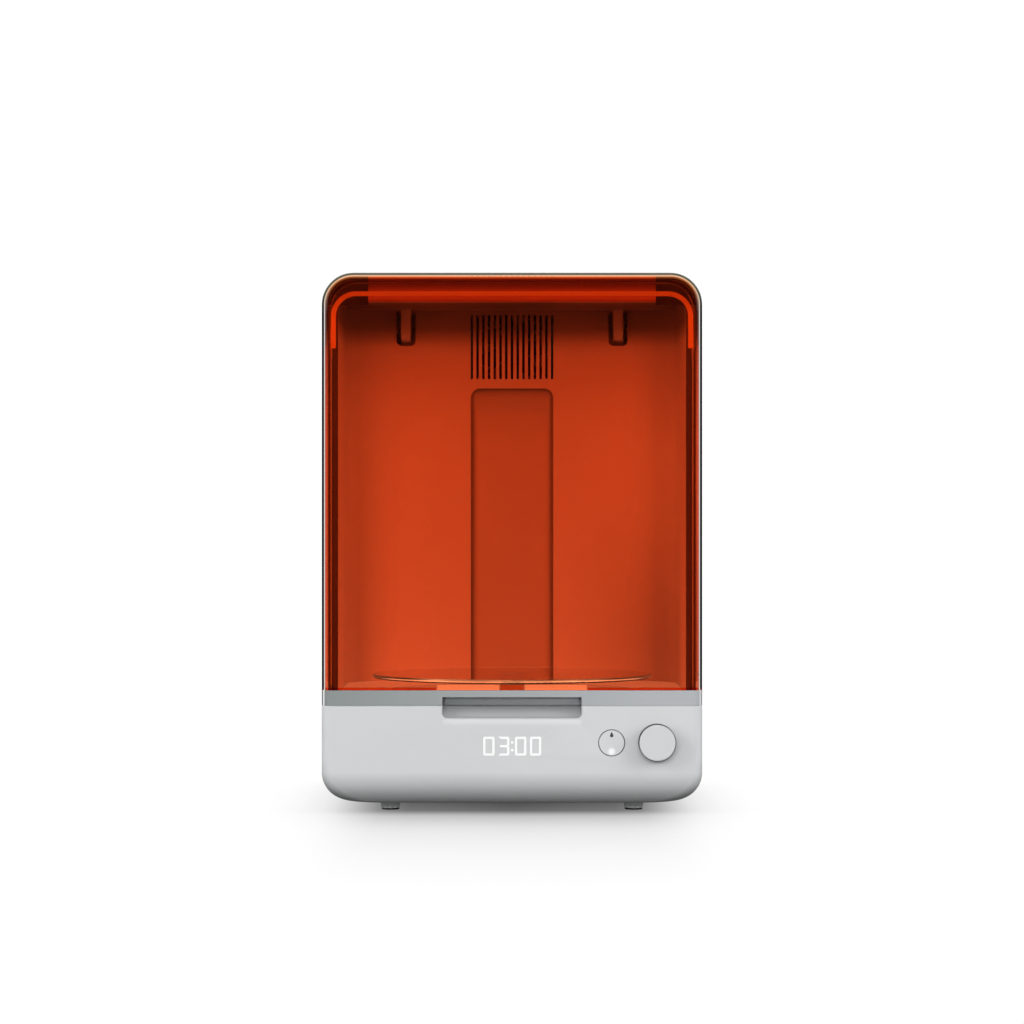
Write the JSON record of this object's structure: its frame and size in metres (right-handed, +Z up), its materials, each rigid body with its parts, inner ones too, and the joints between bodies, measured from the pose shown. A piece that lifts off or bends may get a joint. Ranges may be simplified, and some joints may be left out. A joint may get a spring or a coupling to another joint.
{
  "type": "dental lab light curing unit",
  "caption": "Countertop light curing unit with a grey base and housing, a clear amber cover that swings up on curved arms, a glass turntable, and a timer panel with button and dial.",
  "frame": {"origin": "middle of the footprint on the surface that the rubber soles stand on", "axes": "+Z up, front with the controls and the cover faces -Y, +X to the right of someone facing the front"},
  "size_m": [0.27, 0.3034, 0.3852],
  "materials": {
    "light_grey_plastic": "fine satin moulded casing plastic",
    "mid_grey_plastic": "satin moulded plastic",
    "strip_grey_plastic": "satin grey plastic strip",
    "amber_acrylic": "clear amber acrylic, polished",
    "bow_orange_plastic": "bright translucent orange plastic",
    "beam_red_plastic": "translucent red-orange plastic",
    "arm_paint": "powder coated cast arm",
    "white_chamber": "white reflective chamber wall",
    "opal_diffuser": "opal light diffuser",
    "clear_glass": "clear toughened glass",
    "lit_white": "glowing white light guide",
    "dark_grey_plastic": "dark grey moulded plastic",
    "dark_print": "dark inlay",
    "black_plastic": "black moulded plastic",
    "black_rubber": "soft rubber sole",
    "zinc_steel": "turned and plated steel",
    "spring_steel": "oiled spring wire",
    "plated_metal": "plated sheet metal",
    "bare_aluminium": "extruded aluminium",
    "bearing_bronze": "sintered bronze",
    "white_nylon": "moulded nylon gear",
    "board_green": "solder masked circuit board",
    "board_white": "white masked LED board"
  },
  "bodies": {
    "casing": {"base_bottom_plate": "mid_grey_plastic", "base_shell": "light_grey_plastic", "bottom_plate_screws": "zinc_steel", "chamber_floor": "white_chamber", "chamber_liner": "white_chamber", "chamber_seal": "black_rubber", "control_board": "board_green", "display_digits": "lit_white", "display_module": "black_plastic", "encoder_body": "plated_metal", "fan_frame": "black_plastic", "fan_screws": "zinc_steel", "feet": "mid_grey_plastic", "floor_diffuser": "opal_diffuser", "floor_led_board": "board_white", "foot_soles": "black_rubber", "hinge_brackets": "plated_metal", "hinge_dampers": "black_plastic", "interlock_sensor": "black_plastic", "light_well": "white_chamber", "motor_bracket": "plated_metal", "power_inlet": "black_plastic", "power_supply": "plated_metal", "rear_cover": "mid_grey_plastic", "rear_cover_screws": "zinc_steel", "rear_heat_sink": "bare_aluminium", "rear_housing": "light_grey_plastic", "rear_led_board": "board_white", "rear_light_panel": "opal_diffuser", "rocker_bezel": "black_plastic", "spindle_bearing": "bearing_bronze", "tact_switch": "black_plastic", "torsion_springs": "spring_steel", "turntable_motor": "plated_metal"},
    "lid": {"lid_shell": "amber_acrylic", "lid_handle": "strip_grey_plastic", "lid_bow": "bow_orange_plastic", "lid_latch_magnet": "plated_metal", "hinge_beam": "beam_red_plastic", "hinge_arm_left": "arm_paint", "hinge_arm_right": "arm_paint", "hinge_axle": "zinc_steel", "lid_ceiling": "dark_grey_plastic", "lid_inner_lip": "amber_acrylic", "lid_catch_rail": "white_nylon"},
    "turntable": {"turntable_disc": "clear_glass", "turntable_hub": "plated_metal", "drive_spindle": "zinc_steel", "drive_gear": "white_nylon"},
    "motor_shaft": {"motor_pinion": "bearing_bronze"},
    "button": {"start_button": "light_grey_plastic", "button_icon": "dark_print", "button_light": "lit_white"},
    "knob": {"dial_knob": "light_grey_plastic", "knob_grip": "dark_grey_plastic", "encoder_shaft": "zinc_steel"},
    "rocker": {"rocker_switch": "black_plastic"},
    "fan": {"fan_rotor": "black_plastic"}
  },
  "joints": [
    {"name": "lid_hinge", "type": "hinge", "parent": "casing", "child": "lid", "pos_m": [0, 0.12775, 0.372], "axis": [-1, 0, 0], "range_deg": [0, 70]},
    {"name": "turntable_spin", "type": "hinge", "parent": "casing", "child": "turntable", "pos_m": [0, -0.02025, 0], "axis": [0, 0, 1], "continuous": true},
    {"name": "motor_spin", "type": "hinge", "parent": "casing", "child": "motor_shaft", "pos_m": [0, 0.00975, 0], "axis": [0, 0, 1], "continuous": true},
    {"name": "button_press", "type": "slide", "parent": "casing", "child": "button", "axis": [0, 1, 0], "range_m": [0, 0.0012], "stiffness_N_per_m": 900, "springref_m": -0.0004},
    {"name": "knob_turn", "type": "hinge", "parent": "casing", "child": "knob", "pos_m": [0.1026, -0.14025, 0.0523], "axis": [0, -1, 0], "continuous": true},
    {"name": "rocker_tilt", "type": "hinge", "parent": "casing", "child": "rocker", "pos_m": [-0.091, 0.14835, 0.047], "axis": [1, 0, 0], "range_deg": [0, 14]},
    {"name": "fan_spin", "type": "hinge", "parent": "casing", "child": "fan", "pos_m": [0, 0.10675, 0.3433], "axis": [0, 1, 0], "continuous": true}
  ],
  "couplings": [
    {"joint": "motor_spin", "follows": "turntable_spin", "ratio": -4}
  ]
}
